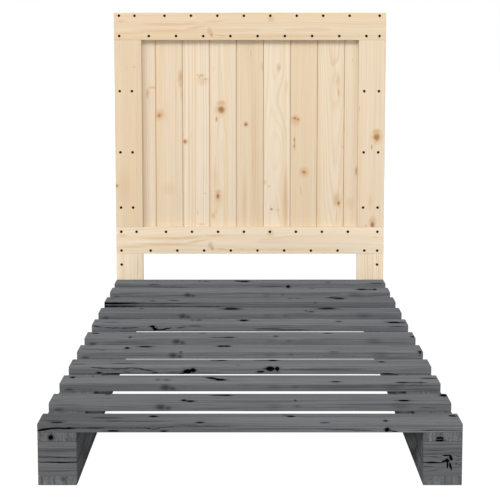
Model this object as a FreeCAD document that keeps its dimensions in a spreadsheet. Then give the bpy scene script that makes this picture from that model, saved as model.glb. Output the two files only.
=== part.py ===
# Low pallet-style single bed with a boarded headboard, in millimetres.
# The foot of the bed is at -Y, the headboard at +Y, the floor at Z = 0.
import FreeCAD
import Part
import math
import os
import Sketcher

SIZES = {
    # Base
    "bed_width": "1000",
    "base_length": "2000",
    "slat_width": "92",
    "slat_thick": "21",
    "slat_shift_near": "8",
    "slat_shift_far": "17",
    "skid_width": "92",
    "stringer_thick": "22",
    "block_length": "145",
    "block_height": "84",
    "runner_thick": "22",
    # Headboard
    "headboard_height": "1141",
    "rail_clear": "247",
    "rail_height": "100",
    "stile_width": "100",
    "post_width": "50",
    "frame_thick": "20",
    "panel_thick": "20",
    # Tongue-and-groove joints of the panel boards
    "tongue_length": "6",
    "tongue_thick": "6",
    "tongue_clear": "0.3",
    "vee_depth": "2.5",
    # Eased long edges of every sawn board
    "arris": "1.5",
    # Black screws through the headboard's front frame
    "screw_head": "8",
    "screw_head_depth": "3",
    "screw_shank": "4",
    "screw_bite": "15",
    "edge_inset_left": "19",
    "edge_inset_right": "24",
    "top_row_upper": "11",
    "top_row_lower": "15",
    "bottom_row_upper": "17",
    "bottom_row_lower": "12",
    "near_inset_first": "26",
    "near_inset": "39",
    "near_drift": "2.9",
    "far_inset": "22",
    "stile_inset_left": "64",
    "stile_inset_right": "78",
    "stile_row_low": "74",
    "stile_row_high": "187",
    "stile_row_drop": "10",
    "leg_row": "41",
    # Hidden screws of the base, driven from below
    "slat_screw_bite": "14",
    "block_screw_head": "12",
    "block_screw_shank": "6",
    "block_screw_bite": "15",
    "block_screw_side": "22",
    "block_screw_end": "34",
    # Coach screws that hold the legs to the last blocks
    "coach_shank": "8",
    "coach_flats": "13",
    "coach_head_thick": "5.5",
    "coach_bite": "55",
    "coach_inset": "22",
    "washer_width": "22",
    "washer_thick": "1.6",
    "washer_clear": "0.5",
    "recess_depth": "8",
}

SLAT_COUNT = 11
BLOCK_COUNT = 5
BOARD_COUNT = 9
# Screws and the holes that they fill have few sides, because there are over a hundred of them.
SHOWN_SIDES = 8
HIDDEN_SIDES = 6
WASHER_SIDES = 16

doc = FreeCAD.newDocument("bed")
sheet = doc.addObject("Spreadsheet::Sheet", "sizes")
for row, (name, text) in enumerate(SIZES.items(), start=1):
    sheet.set(f"A{row}", name)
    sheet.set(f"B{row}", text)
    sheet.setAlias(f"B{row}", name)
doc.recompute()

# Places that several pieces share, as expressions on the sheet
FOOT = "(-(sizes.base_length + sizes.frame_thick + sizes.panel_thick) / 2)"
HEAD = f"({FOOT} + sizes.base_length)"
PANEL = f"({HEAD} + sizes.frame_thick)"
LEFT = "(-sizes.bed_width / 2)"
BLOCK_Z = "sizes.runner_thick"
STRINGER_Z = f"({BLOCK_Z} + sizes.block_height)"
DECK_Z = f"({STRINGER_Z} + sizes.stringer_thick)"
TOP_RAIL_Z = "(sizes.headboard_height - sizes.rail_height)"
STILE_Z = "(sizes.rail_clear + sizes.rail_height)"
COVER = f"((sizes.bed_width - 2 * sizes.post_width) / {BOARD_COUNT})"
SIDES = {"left": LEFT, "right": "(sizes.bed_width / 2)"}

finished = []


def value(expression):
    """The number that an expression on the sheet has now."""
    return float(sheet.evalExpression(expression))


def inner_edge(side, width):
    """X of the lower face of a piece of this width that ends flush with the bed's side."""
    return LEFT if side == "left" else f"({SIDES['right']} - {width})"


def origin_plane(body, role):
    return next(item for item in body.Origin.OriginFeatures if item.Role == role)


def draw(sketch, points):
    """A closed outline whose corners are bound to the sheet."""
    corners = [FreeCAD.Vector(value(u), value(v), 0) for u, v in points]
    count = len(points)
    for here in range(count):
        sketch.addGeometry(Part.LineSegment(corners[here], corners[(here + 1) % count]))
    for here in range(count):
        sketch.addConstraint(Sketcher.Constraint("Coincident", here, 2, (here + 1) % count, 1))
    for here, (u, v) in enumerate(points):
        for kind, axis, text in (("DistanceX", -2, u), ("DistanceY", -1, v)):
            if text == "0":
                sketch.addConstraint(Sketcher.Constraint("PointOnObject", here, 1, axis))
                continue
            index = sketch.addConstraint(Sketcher.Constraint(kind, -1, 1, here, 1, value(text)))
            sketch.setExpression(f"Constraints[{index}]", text)


def rectangle(width, height):
    return [("0", "0"), (width, "0"), (width, height), ("0", height)]


def blank(label, role, outline, length, place, eased=True):
    """A board sawn to length: its section on one origin plane, padded along the grain, edges eased."""
    body = doc.addObject("PartDesign::Body", f"{label}_blank")
    section = body.newObject("Sketcher::SketchObject", f"{label}_section")
    section.AttachmentSupport = (origin_plane(body, role), [""])
    section.MapMode = "FlatFace"
    draw(section, outline)
    pad = body.newObject("PartDesign::Pad", f"{label}_pad")
    pad.Profile = section
    pad.Reversed = role == "XZ_Plane"
    pad.setExpression("Length", length)
    doc.recompute()
    if eased:
        along = {"XY_Plane": 2, "XZ_Plane": 1, "YZ_Plane": 0}[role]
        names = [
            f"Edge{number}"
            for number, edge in enumerate(pad.Shape.Edges, start=1)
            if abs(edge.tangentAt(edge.FirstParameter)[along]) > 0.99
        ]
        arris = body.newObject("PartDesign::Chamfer", f"{label}_arris")
        arris.Base = (pad, names)
        arris.setExpression("Size", "sizes.arris")
    for axis, text in zip("xyz", place):
        body.setExpression(f"Placement.Base.{axis}", text)
    return body


def drilled(label, body, tools):
    """The finished board: its blank, cut by the fasteners that pass through it."""
    tool = tools[0]
    if len(tools) > 1:
        tool = doc.addObject("Part::Compound", f"{label}_holes")
        tool.Links = tools
    cut = doc.addObject("Part::Cut", label)
    cut.Base = body
    cut.Tool = tool
    cut.Label = label
    finished.append(cut)


def ring(width, height, sides):
    """Corners of a flat-sided ring, as wide across its corners as a round one, at a height."""
    turn = 2 * math.pi / sides
    angles = [turn * (i + 0.5) for i in range(sides)]
    return [FreeCAD.Vector(width / 2 * math.cos(a), width / 2 * math.sin(a), height) for a in angles]


def stack(rings):
    """A solid with flat faces through rings of equal count, from the lowest to the highest."""
    count = len(rings[0])
    outlines = [rings[0][::-1], rings[-1]]
    for low, high in zip(rings, rings[1:]):
        for here in range(count):
            after = (here + 1) % count
            outlines.append([low[here], low[after], high[after], high[here]])
    faces = [Part.Face(Part.makePolygon(corners + corners[:1])) for corners in outlines]
    return Part.Solid(Part.Shell(faces))


def screw(head, head_depth, shank, length, sides):
    """A countersunk screw with its head's face at the origin, pointing along +Z."""
    return stack([ring(head, 0, sides), ring(shank, head_depth, sides), ring(shank, length, sides)])


def group(label, solid, places, turn=0, keep=True):
    """Equal solids at several places as one sub-part, turned about X first."""
    turned = FreeCAD.Rotation(FreeCAD.Vector(1, 0, 0), turn)
    copies = []
    for place in places:
        copy = solid.copy()
        copy.Placement = FreeCAD.Placement(FreeCAD.Vector(*place), turned)
        copies.append(copy)
    feature = doc.addObject("Part::Feature", label)
    feature.Shape = Part.makeCompound(copies)
    feature.Placement = FreeCAD.Placement()
    feature.Label = label
    if keep:
        finished.append(feature)
    return feature


def board_left(index):
    return f"({LEFT} + sizes.post_width + {index} * {COVER})"


def slat_front(index):
    """Y of a slat's front edge: an even pitch, with the shifts that the deck shows."""
    pitch = f"(sizes.base_length - sizes.slat_width) / {SLAT_COUNT - 1}"
    shift = {2: "near", 3: "near", 4: "near", 6: "near", 7: "far", 8: "far", 9: "far"}.get(index)
    extra = f" + sizes.slat_shift_{shift}" if shift else ""
    return f"({FOOT} + {index} * {pitch}{extra})"


def block_front(index):
    return f"({FOOT} + {index} * (sizes.base_length - sizes.block_length) / {BLOCK_COUNT - 1})"


def skid_middle(side):
    return f"({inner_edge(side, 'sizes.skid_width')} + sizes.skid_width / 2)"


def rail_screws(label, base, upper_inset, lower_inset):
    """Two rows through a rail: the outer screws into the posts, the others into each panel board."""
    upper = value(f"{base} + sizes.rail_height - sizes.{upper_inset}")
    lower = value(f"{base} + sizes.{lower_inset}")
    front = value(HEAD)
    places = []
    for z in (upper, lower):
        places.append((value(f"{LEFT} + sizes.edge_inset_left"), front, z))
        places.append((value(f"{SIDES['right']} - sizes.edge_inset_right"), front, z))
    for index in range(BOARD_COUNT):
        near = "sizes.near_inset_first" if index == 0 else f"sizes.near_inset - {index} * sizes.near_drift"
        places.append((value(f"{board_left(index)} + {near}"), front, upper))
        places.append((value(f"{board_left(index + 1)} - sizes.far_inset"), front, lower))
    return group(label, black_screw(), places, turn=-90)


def black_screw():
    return screw(
        value("sizes.screw_head"),
        value("sizes.screw_head_depth"),
        value("sizes.screw_shank"),
        value("sizes.frame_thick + sizes.screw_bite"),
        SHOWN_SIDES,
    )


def stile_screws():
    """Three rows of four: the outer screws into the posts, the inner ones into the end boards."""
    low = f"({STILE_Z} + sizes.stile_row_low)"
    high = f"({TOP_RAIL_Z} - sizes.stile_row_high)"
    middle = f"(({low} + {high}) / 2 - sizes.stile_row_drop)"
    columns = (
        f"{LEFT} + sizes.edge_inset_left",
        f"{LEFT} + sizes.stile_inset_left",
        f"{SIDES['right']} - sizes.stile_inset_right",
        f"{SIDES['right']} - sizes.edge_inset_right",
    )
    places = [(value(x), value(HEAD), value(z)) for z in (low, middle, high) for x in columns]
    return group("stile_screws", black_screw(), places, turn=-90)


def leg_screws():
    edges = (f"{LEFT} + sizes.edge_inset_left", f"{SIDES['right']} - sizes.edge_inset_right")
    places = [(value(x), value(HEAD), value("sizes.rail_clear - sizes.leg_row")) for x in edges]
    return group("leg_screws", black_screw(), places, turn=-90)


def slat_screws():
    """One screw at each end of each slat, up through the middle of the stringer."""
    shape = screw(
        value("sizes.screw_head"),
        value("sizes.screw_head_depth"),
        value("sizes.screw_shank"),
        value("sizes.stringer_thick + sizes.slat_screw_bite"),
        HIDDEN_SIDES,
    )
    places = [
        (value(skid_middle(side)), value(f"{slat_front(index)} + sizes.slat_width / 2"), value(STRINGER_Z))
        for side in SIDES
        for index in range(SLAT_COUNT)
    ]
    return group("slat_screws", shape, places)


def block_screws():
    """Two long screws up through each block, the front one outside and the rear one inside."""
    shape = screw(
        value("sizes.block_screw_head"),
        value("sizes.screw_head_depth"),
        value("sizes.block_screw_shank"),
        value(f"{STRINGER_Z} + sizes.block_screw_bite"),
        HIDDEN_SIDES,
    )
    front_end = "sizes.block_screw_end"
    rear_end = "(sizes.block_length - sizes.block_screw_end)"
    places = []
    for side, outward in (("left", -1), ("right", 1)):
        for index in range(BLOCK_COUNT):
            for end, across in ((front_end, outward), (rear_end, -outward)):
                x = value(f"{skid_middle(side)} + {across} * sizes.block_screw_side")
                places.append((x, value(f"{block_front(index)} + {end}"), 0))
    return group("block_screws", shape, places)


def coach_places(y):
    """Two places one above the other on each back post, within the height of the last block."""
    heights = (f"{BLOCK_Z} + sizes.coach_inset", f"{STRINGER_Z} - sizes.coach_inset")
    return [
        (value(f"{inner_edge(side, 'sizes.post_width')} + sizes.post_width / 2"), value(y), value(z))
        for side in SIDES
        for z in heights
    ]


def coach_fasteners():
    """The hexagon-headed screws, their washers, and the recesses that hold both below the back face."""
    back = f"({PANEL} + sizes.panel_thick)"
    seat = f"({back} - sizes.recess_depth)"
    washer_face = f"({seat} + sizes.washer_thick)"
    head_thick = value("sizes.coach_head_thick")
    head_width = value("sizes.coach_flats") / math.cos(math.pi / 6)
    head = stack([ring(head_width, 0, 6), ring(head_width, head_thick, 6)])
    shank_width = value("sizes.coach_shank")
    tip = head_thick + value(f"sizes.coach_bite + {washer_face} - {HEAD}")
    shank = stack([ring(shank_width, head_thick, SHOWN_SIDES), ring(shank_width, tip, SHOWN_SIDES)])
    heads = coach_places(f"{washer_face} + sizes.coach_head_thick")
    screws = group("coach_screws", head.fuse(shank).Solids[0], heads, turn=90)

    thick = value("sizes.washer_thick")
    washer_width = value("sizes.washer_width")
    disc = stack([ring(washer_width, 0, WASHER_SIDES), ring(washer_width, thick, WASHER_SIDES)])
    bore = stack([ring(shank_width, 0, SHOWN_SIDES), ring(shank_width, thick, SHOWN_SIDES)])
    group("coach_washers", disc.cut(bore).Solids[0], coach_places(washer_face), turn=90)

    recess_width = value("sizes.washer_width + 2 * sizes.washer_clear")
    depth = value("sizes.recess_depth")
    recess = stack([ring(recess_width, 0, WASHER_SIDES), ring(recess_width, depth, WASHER_SIDES)])
    return screws, group("coach_recesses", recess, coach_places(back), turn=90, keep=False)


def panel_outline(index):
    """Section of a panel board: vee on the front edges, tongue on the right, groove on the left."""
    low = "(sizes.panel_thick - sizes.tongue_thick) / 2"
    high = "(sizes.panel_thick + sizes.tongue_thick) / 2"
    tip = f"{COVER} + sizes.tongue_length"
    depth = "sizes.tongue_length + sizes.tongue_clear"
    right = [(COVER, "0"), (COVER, "sizes.panel_thick")]
    left = [("0", "sizes.panel_thick"), ("0", "0")]
    if index < BOARD_COUNT - 1:
        right = [
            (f"{COVER} - sizes.vee_depth", "0"),
            (COVER, "sizes.vee_depth"),
            (COVER, low),
            (tip, low),
            (tip, high),
            (COVER, high),
            (COVER, "sizes.panel_thick"),
        ]
    if index > 0:
        left = [
            ("0", "sizes.panel_thick"),
            ("0", f"{high} + sizes.tongue_clear"),
            (depth, f"{high} + sizes.tongue_clear"),
            (depth, f"{low} - sizes.tongue_clear"),
            ("0", f"{low} - sizes.tongue_clear"),
            ("0", "sizes.vee_depth"),
            ("sizes.vee_depth", "0"),
        ]
    return right + left


def base():
    slat_fixings = slat_screws()
    block_fixings = block_screws()
    for index in range(SLAT_COUNT):
        label = f"slat_{index + 1:02d}"
        section = rectangle("sizes.slat_width", "sizes.slat_thick")
        body = blank(label, "YZ_Plane", section, "sizes.bed_width", (LEFT, slat_front(index), DECK_Z))
        drilled(label, body, [slat_fixings])
    for side in SIDES:
        x = inner_edge(side, "sizes.skid_width")
        section = rectangle("sizes.skid_width", "sizes.stringer_thick")
        body = blank(f"{side}_stringer", "XZ_Plane", section, "sizes.base_length", (x, FOOT, STRINGER_Z))
        drilled(f"{side}_stringer", body, [slat_fixings, block_fixings])
        section = rectangle("sizes.skid_width", "sizes.runner_thick")
        body = blank(f"{side}_runner", "XZ_Plane", section, "sizes.base_length", (x, FOOT, "0"))
        drilled(f"{side}_runner", body, [block_fixings])
    return block_fixings


def blocks(block_fixings, coach_fixings):
    for side in SIDES:
        x = inner_edge(side, "sizes.skid_width")
        for index in range(BLOCK_COUNT):
            label = f"{side}_block_{index + 1}"
            section = rectangle("sizes.skid_width", "sizes.block_length")
            body = blank(label, "XY_Plane", section, "sizes.block_height", (x, block_front(index), BLOCK_Z))
            last = index == BLOCK_COUNT - 1
            drilled(label, body, [block_fixings, coach_fixings] if last else [block_fixings])


def headboard(coach_fixings, coach_recesses):
    top_fixings = rail_screws("top_rail_screws", TOP_RAIL_Z, "top_row_upper", "top_row_lower")
    bottom_fixings = rail_screws(
        "bottom_rail_screws", "sizes.rail_clear", "bottom_row_upper", "bottom_row_lower"
    )
    stile_fixings = stile_screws()
    leg_fixings = leg_screws()

    section = rectangle("sizes.frame_thick", "sizes.rail_height")
    rails = {"top": (TOP_RAIL_Z, top_fixings), "bottom": ("sizes.rail_clear", bottom_fixings)}
    for name, (z, fixings) in rails.items():
        label = f"headboard_{name}_rail"
        body = blank(label, "YZ_Plane", section, "sizes.bed_width", (LEFT, HEAD, z))
        drilled(label, body, [fixings])

    section = rectangle("sizes.stile_width", "sizes.frame_thick")
    for side in SIDES:
        x = inner_edge(side, "sizes.stile_width")
        body = blank(f"{side}_stile", "XY_Plane", section, f"{TOP_RAIL_Z} - {STILE_Z}", (x, HEAD, STILE_Z))
        drilled(f"{side}_stile", body, [stile_fixings])
        body = blank(f"{side}_leg", "XY_Plane", section, "sizes.rail_clear", (x, HEAD, "0"))
        drilled(f"{side}_leg", body, [leg_fixings, coach_fixings])

    section = rectangle("sizes.post_width", "sizes.panel_thick")
    for side in SIDES:
        x = inner_edge(side, "sizes.post_width")
        body = blank(f"{side}_back_post", "XY_Plane", section, "sizes.headboard_height", (x, PANEL, "0"))
        fixings = [top_fixings, bottom_fixings, stile_fixings, leg_fixings, coach_fixings, coach_recesses]
        drilled(f"{side}_back_post", body, fixings)

    height = "sizes.headboard_height - sizes.rail_clear"
    for index in range(BOARD_COUNT):
        label = f"panel_board_{index + 1}"
        place = (board_left(index), PANEL, "sizes.rail_clear")
        body = blank(label, "XY_Plane", panel_outline(index), height, place, eased=False)
        ends = index in (0, BOARD_COUNT - 1)
        fixings = [top_fixings, bottom_fixings] + ([stile_fixings] if ends else [])
        drilled(label, body, fixings)


def export():
    """Recomputes, tests every object and writes one file for each sub-part."""
    doc.recompute()
    for item in doc.Objects:
        if "Invalid" in item.State or "Error" in item.State:
            raise RuntimeError(f"{item.Label} did not recompute")
    os.makedirs("parts", exist_ok=True)
    for item in finished:
        if item.Shape.isNull() or not item.Shape.isValid() or item.Shape.Volume <= 0:
            raise RuntimeError(f"{item.Label} has no valid shape")
        item.Shape.exportStep(f"parts/{item.Label}.step")


coach_fixings, coach_recesses = coach_fasteners()
block_fixings = base()
blocks(block_fixings, coach_fixings)
headboard(coach_fixings, coach_recesses)
export()
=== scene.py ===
"""Looks of a slatted bed with a grey-stained base and a boarded headboard of natural pine."""

import math
import random

import bmesh
import bpy
from bpy.props import FloatProperty, FloatVectorProperty, IntProperty, PointerProperty
from mathutils import Matrix, Vector


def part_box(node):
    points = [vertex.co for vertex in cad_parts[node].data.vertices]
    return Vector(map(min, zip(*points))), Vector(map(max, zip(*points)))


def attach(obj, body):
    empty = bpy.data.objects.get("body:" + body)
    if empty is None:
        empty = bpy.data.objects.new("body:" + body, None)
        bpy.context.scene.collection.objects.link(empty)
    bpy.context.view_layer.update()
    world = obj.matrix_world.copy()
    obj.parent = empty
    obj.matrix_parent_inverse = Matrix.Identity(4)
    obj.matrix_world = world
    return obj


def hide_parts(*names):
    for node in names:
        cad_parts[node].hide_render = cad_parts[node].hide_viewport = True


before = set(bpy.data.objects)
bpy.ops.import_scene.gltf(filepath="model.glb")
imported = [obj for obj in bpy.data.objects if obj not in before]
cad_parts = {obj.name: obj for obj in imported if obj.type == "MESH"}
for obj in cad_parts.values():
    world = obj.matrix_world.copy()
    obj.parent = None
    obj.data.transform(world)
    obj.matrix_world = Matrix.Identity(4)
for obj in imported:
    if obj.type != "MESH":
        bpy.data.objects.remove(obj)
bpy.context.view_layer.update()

bl_info = {
    "name": "Slatted bed with boarded headboard",
    "version": (1, 0, 0),
    "blender": (4, 5, 0),
    "location": "View3D > Sidebar > Bed",
    "description": "Builds the boards, screws and studio of a slatted bed round its packed solids",
    "category": "Object",
}

MM = 0.001
SIDES = ("left", "right")
SLAT_COUNT = 11
BLOCK_COUNT = 5
BOARD_COUNT = 9
RAILS = ("headboard_top_rail", "headboard_bottom_rail")
PLAIN_SLATS = ("slat_02", "slat_03", "slat_05", "slat_06", "slat_08", "slat_10")
SCREW_NODES = ("top_rail_screws", "bottom_rail_screws", "stile_screws", "leg_screws")
ZINC_NODES = ("slat_screws", "block_screws", "coach_screws", "coach_washers")

# A board's own axes are across, thickness and along the grain. Each matrix turns them into the bed's axes.
GRAIN_ACROSS_BED = Matrix(((0, 0, 1), (1, 0, 0), (0, 1, 0)))
GRAIN_ALONG_BED = Matrix(((-1, 0, 0), (0, 0, 1), (0, 1, 0)))
GRAIN_UPRIGHT = Matrix.Identity(3)
GRAIN_ALONG_RAIL = Matrix(((0, 0, 1), (0, 1, 0), (-1, 0, 0)))
ACROSS, ALONG = 0, 2

# Each noise: waves to the metre across, through and along the grain, detail, and where it fades to 0 and 1.
WAVES = {
    "broad": ((70, 70, 12), 1.0),
    "fine": ((260, 260, 60), 2.0),
    "sway": ((6, 6, 1.6), 2.0),
    "streak": ((60, 60, 0.9), 3.0),
    "blush": ((34, 34, 0.6), 2.0, 0.48, 0.72),
    "fibre": ((620, 620, 8), 3.0),
    "check": ((190, 190, 1.5), 2.0, 0.57, 0.70),
    "bands": ((150, 9, 0.2), 2.0, 0.40, 0.64),
    "fleck": ((130, 130, 11), 1.0, 0.76, 0.82),
    "mottle": ((190, 190, 190), 2.0, 0.62, 0.38),
    "speck": ((900, 900, 900), 3.0),
    "cloud": ((220, 220, 220), 4.0),
}
# The trunk's middle beside a board: ranges of its place and of its lean, sideways and deep, and its sway.
FLAMED_PITH = ((-0.02, 0.02), (0.035, 0.06), (-0.02, 0.02), (-0.03, 0.03), 0.026)
STRAIGHT_PITH = ((0.06, 0.12), (0.015, 0.05), (-0.012, 0.012), (-0.02, 0.02), 0.014)

# Strength and rise of a mark whose row doesn't give them.
FULL_AND_LEVEL = (100, 0)
# How marks fade from nothing to full, in shares of their half size, and how far they spread.
SMEAR_FADE = (1.7, 0.1)
RIM_FADE = (0.4, 0.0)
RIM_PLACE = 0.85
RIM_SHARE = 0.25
HALO_SHARE = 0.6
PUSH_REACH = 2.6
KNOT_PUSH = 1.8
CRACK_SPREAD = 1.25
TAIL_STRETCH = (2.6, 0.36)
TAIL_FADE = (1.0, 0.4)
TAIL_SHARE = 0.8

# A growth ring darkens slowly and ends sharply, and its dark part is never fainter than the least share.
RING_RISE = (0.25, 0.88)
RING_FALL = (1.0, 0.90)
RING_LEAST = 0.2
FIBRE_FADE = (0.45, 0.75)
FIBRE_LOSS_AT_END = 0.7
KNOT_MOTTLE = 0.3
# How the vee joints and the boards' narrow faces take painted shade, and how sawn ends darken: shares, and
# reaches in metres from the edge.
VEE_SHARE = 0.27
VEE_REACH = 2.6 * MM
EDGE_FULL = 0.4
SAWN_REACH = (1.2 * MM, 0.4 * MM)
# What late wood, fibres, checks and knots add to the relief, and late wood and fibres to the roughness.
LATE_LIFT, FIBRE_LIFT, CHECK_LIFT, HEART_LIFT = 0.5, 0.35, -0.4, 0.8
LATE_ROUGH, FIBRE_ROUGH = -0.08, 0.12
GRAIN_BUMP = 0.5
GRAIN_RELIEF = 0.25 * MM
METAL_RELIEF = 0.1 * MM
# How far noises and seeds are spread, and how boards are swept, rounded and shaded.
NOISE_REACH = 40
SEED_REACH = 900
WANDER_WAVES = 4.0
ROW_STEP = 0.05
LEAST_ROWS = 6
CORNER_STEPS = 4
CORNER_LIMIT = 0.49
BOARD_CREASE = 35
SCREW_CREASE = 40

# Each lamp's degrees to the right of the front, degrees above the floor and spread in degrees.
LAMPS = {"key": (-4, 42, 22), "side": (-55, 24, 16), "fill": (50, 13, 40)}
LAMP_DISTANCE = 4.0
FLOOR_HALF = 40.0
FLOOR_LIGHT = 1.12
CAMERA_PLACE = (0, -4.2519, 1.0469)
CAMERA_TILT = math.radians(90 - 6.92)
CAMERA_SHIFT = -0.08
CAMERA_SENSOR = 36.0
CAMERA_REACH = 200.0

# Marks in the wood, in millimetres from the middle of the face: sideways, up, size sideways, size up,
# strength in hundredths, full if not given, and the rise of a slanting one. On a top, up is back.
FRONT_CRACKS = {
    "slat_01": [
        (-484, -3.8, 56, 5.2, 100, 7), (-440, -0.4, 104, 5, 100, 2), (-376, 0.4, 130, 2.8, 80),
        (-300, 0.4, 210, 2.1, 66), (-240, -0.5, 24, 2.3, 88, -4), (-222, -2, 24, 2.3, 77, 3),
        (-195, 3, 62, 2.3, 66, 6), (-110, 4.6, 190, 2.3, 61, -1), (-70, -4.2, 170, 2.1, 50),
        (235, -4.4, 190, 2.4, 66, -6), (337, -7.2, 26, 2.9, 100, -2), (440, -5.3, 140, 2.2, 85),
    ],
    "slat_04": [
        (-412, 6.5, 66, 3.9, 66, -5), (-365, 4, 66, 3.9, 72, -1), (-340, 5.5, 38, 3.4, 66, 5),
        (-313, 6, 52, 3.6, 66, -4), (-284, 1, 54, 4.2, 77, -7), (-378, -9, 66, 3.4, 99),
        (-340, -4.8, 32, 3.4, 61), (-186, -7, 28, 5.2, 100, 3), (215, 3.5, 290, 6.5, 39),
        (378, -9, 50, 3.4, 88),
    ],
    "slat_07": [
        (-483, 6, 34, 4.2, 88, -7), (-430, 0.6, 100, 3.4, 77, -1.5), (-385, 0.6, 90, 3.4, 72, 2),
        (-304, 1, 8, 16), (-281, -5.2, 44, 3.9, 100, 2), (-262, -1.6, 38, 4.4, 100, 6),
        (-216, 3, 38, 3.6, 66, 7), (-170, 7, 70, 3.4, 61), (60, -2, 120, 5.2, 50), (130, -5.5, 160, 3.4, 61),
        (465, 6, 74, 3.9, 61),
    ],
    "slat_09": [
        (-500, 6, 350, 7.5, 99), (-500, -4.4, 350, 6.2, 99), (-290, 5, 240, 4.4, 55),
        (-290, -4.8, 240, 4.2, 55), (-145, -5.4, 140, 3.6, 72), (-65, -9.3, 56, 2.9), (268, -9.8, 62, 2.9),
    ],
    "slat_10": [(303, -8.8, 58, 5.5)],
    "slat_11": [
        (80, 1, 130, 3.9, 55), (430, -9.2, 78, 3.9), (-352, 7, 56, 3.9, 61), (-300, -2, 200, 3.9, 55),
    ],
    "right_stringer": [(-11, -2.4, 14, 6, 100, 4), (-4, -2.4, 14, 6, 100, -4)],
    "left_block_1": [(-4, 4.4, 150, 2.6, 95), (10, -8.4, 150, 3.4), (0, -30, 130, 2.6, 40, 5)],
    "right_block_1": [
        (-24, -8.2, 74, 4), (4, -5, 22, 4.4, 100, 9), (9, 8.6, 26, 4, 100, 1), (19, 3, 8, 20, 100, -8),
        (18.5, -18, 6, 26, 100, -5), (11.5, -15, 5, 20, 100, 1), (-25, 4.8, 66, 2, 80),
        (-20, 21, 80, 1.8, 60), (-20, 12, 66, 1.6, 50), (36, 7, 28, 1.8, 70, -3), (36, -3, 20, 2.2, 70, 4),
        (-20, -27, 60, 2.2, 45, 9),
    ],
    "left_runner": [(-8, 0, 3, 30, 50), (-36, 0, 3, 30, 40)],
    "left_stile": [(30, -20, 3, 900, 25)],
    "right_stile": [(2, -47, 10, 30)],
    "left_leg": [(28, 74, 7, 170, 45)],
    "right_leg": [(32, 70, 9, 160, 28)],
    "panel_board_2": [(46, 146, 7, 80, 45), (26, 141, 4, 80, 30)],
    "panel_board_3": [(-41, 150, 4, 560, 28)],
    "panel_board_4": [(-24, 55, 10, 30)],
    "panel_board_5": [(20, -39, 5, 640, 36), (9, -60, 4, 560, 26)],
    "panel_board_6": [(3, -273, 5, 150, 42, -22)],
    "panel_board_7": [(-33, -32, 7, 90, 80), (-11, -209, 5, 54, 50)],
    "panel_board_8": [(27, 156, 11, 46, 70, -4), (23, -309, 5, 84, 60)],
    **dict.fromkeys(RAILS, [(-106, -33, 74, 9, 38, -5)]),
}
FRONT_KNOTS = {
    "slat_01": [(-321, -6.3, 26, 3.6, 95), (-203, -7.2, 15, 3.6, 95), (322, -4, 10, 9)],
    "slat_04": [
        (-416, -6.5, 12, 4.5, 95), (-262, -6.5, 16, 5, 60), (-172, -2, 20, 11), (-157, 1, 14, 11),
        (56, 5, 22, 13), (75, 5, 11, 12), (30, -3.5, 16, 5.5),
    ],
    "slat_07": [(-308, 6, 14, 6.5), (-299, -3.5, 12, 9)],
    "slat_11": [(141, 0.5, 12, 8.5)],
    "left_stringer": [(-14.5, -0.8, 10, 11)],
    "right_stringer": [(-7.5, -8.6, 18, 4.6), (-6.5, 7, 3, 4, 60)],
    "left_block_1": [(39, -8.6, 11, 2.4)],
    "right_block_1": [(10.5, -4, 8, 9), (32, -12, 3, 3, 60), (40, -14, 3, 3, 60)],
    "left_stile": [(-46, -191, 9, 11, 80)],
    "right_stile": [(20, -10, 23, 27), (6, -338, 13, 22)],
    "panel_board_2": [(-38, 70, 14, 13, 80)],
    "panel_board_3": [(-42, -28, 12, 12)],
    "panel_board_4": [(-7, 91, 23, 25), (-20, -232, 10, 20)],
    "panel_board_5": [(-15, 36, 11, 13)],
    "panel_board_6": [(-19, -282, 8, 8, 80)],
    "panel_board_7": [
        (-33, 58, 13, 8, 85), (-21, 55, 7, 9, 80), (-34, -21, 6, 12), (-34, -44, 6, 14), (2, -142, 12, 10),
    ],
    "panel_board_8": [(31, -259, 8, 12)],
    "panel_board_9": [(-3, -139, 9, 30, 52)],
    **dict.fromkeys(RAILS, [(-141, -30, 9, 12, 55)]),
}
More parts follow.
